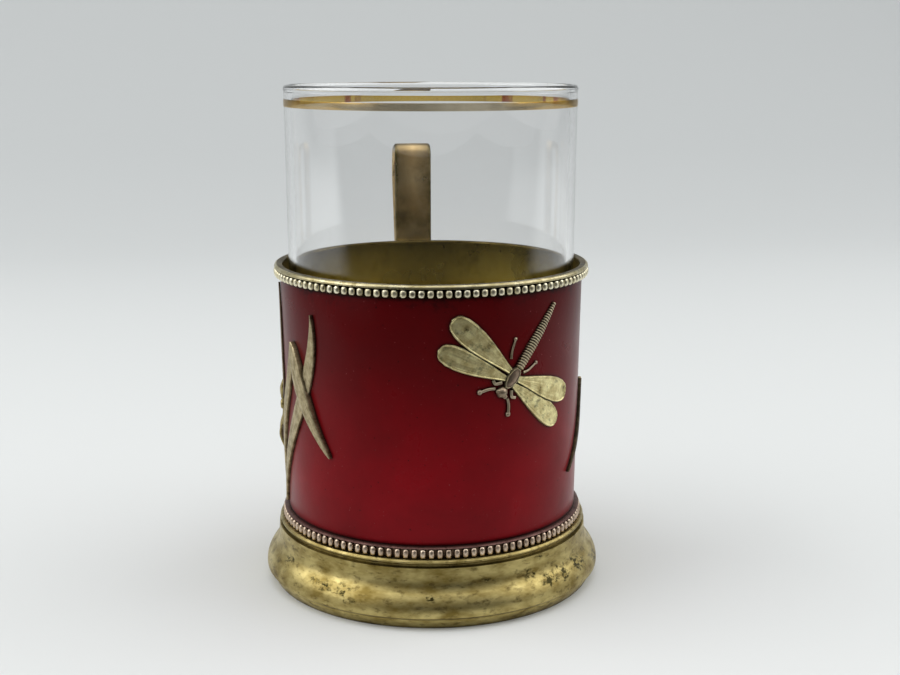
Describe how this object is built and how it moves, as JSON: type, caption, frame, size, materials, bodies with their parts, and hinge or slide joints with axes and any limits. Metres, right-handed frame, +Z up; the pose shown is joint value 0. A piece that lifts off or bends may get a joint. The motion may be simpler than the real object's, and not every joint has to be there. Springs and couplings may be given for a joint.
{
  "type": "tea glass holder",
  "caption": "Handled metal sleeve on a round foot that holds a straight tea glass, with an enamelled wall, beaded edges and soldered dragonfly and iris ornaments.",
  "frame": {"origin": "centre of the foot's underside, on the table", "axes": "+Z up along the glass, +Y towards the handle, -Y the front with the dragonfly"},
  "size_m": [0.0804, 0.1043, 0.1166],
  "materials": {
    "brass": "old satin brass with darker stains",
    "gilt_brass": "satin gilt brass, darker in its recesses",
    "dark_brass": "toned brass, grey-brown in its recesses",
    "enamel": "dark red glossy enamel",
    "glass": "clear smooth glass",
    "gold": "fired gold, worn thin in places"
  },
  "bodies": {
    "holder": {"sleeve": "brass", "enamel_coat": "enamel", "rim_ring": "gilt_brass", "upper_beaded_wire": "dark_brass", "lower_beaded_wire": "dark_brass", "fillet_wire": "gilt_brass", "foot": "brass", "foot_hem": "brass", "floor_plate": "brass", "handle_strap": "brass", "handle_upper_pad": "brass", "handle_lower_pad": "brass", "dragonfly_thorax": "dark_brass", "dragonfly_abdomen": "dark_brass", "dragonfly_head": "dark_brass", "dragonfly_eyes": "dark_brass", "dragonfly_upper_left_wing": "gilt_brass", "dragonfly_lower_left_wing": "gilt_brass", "dragonfly_upper_right_wing": "gilt_brass", "dragonfly_lower_right_wing": "gilt_brass", "dragonfly_legs": "dark_brass", "dragonfly_feelers": "dark_brass", "left_tall_leaf": "gilt_brass", "left_bent_leaf": "gilt_brass", "left_slim_leaf": "dark_brass", "left_back_leaf": "gilt_brass", "left_iris_stem": "dark_brass", "left_iris_petals": "gilt_brass", "left_iris_hanging_petal": "gilt_brass", "right_bent_leaf": "gilt_brass", "right_tall_leaf": "gilt_brass", "right_back_leaf": "gilt_brass", "right_iris_stem": "dark_brass", "right_iris_petals": "gilt_brass", "right_iris_hanging_petal": "gilt_brass"},
    "glass_body": {"glass": "glass", "gilt_band": "gold"}
  },
  "joints": [
    {"name": "glass_lift", "type": "slide", "parent": "holder", "child": "glass_body", "axis": [0, 0, 1], "range_m": [0, 0.1]}
  ]
}
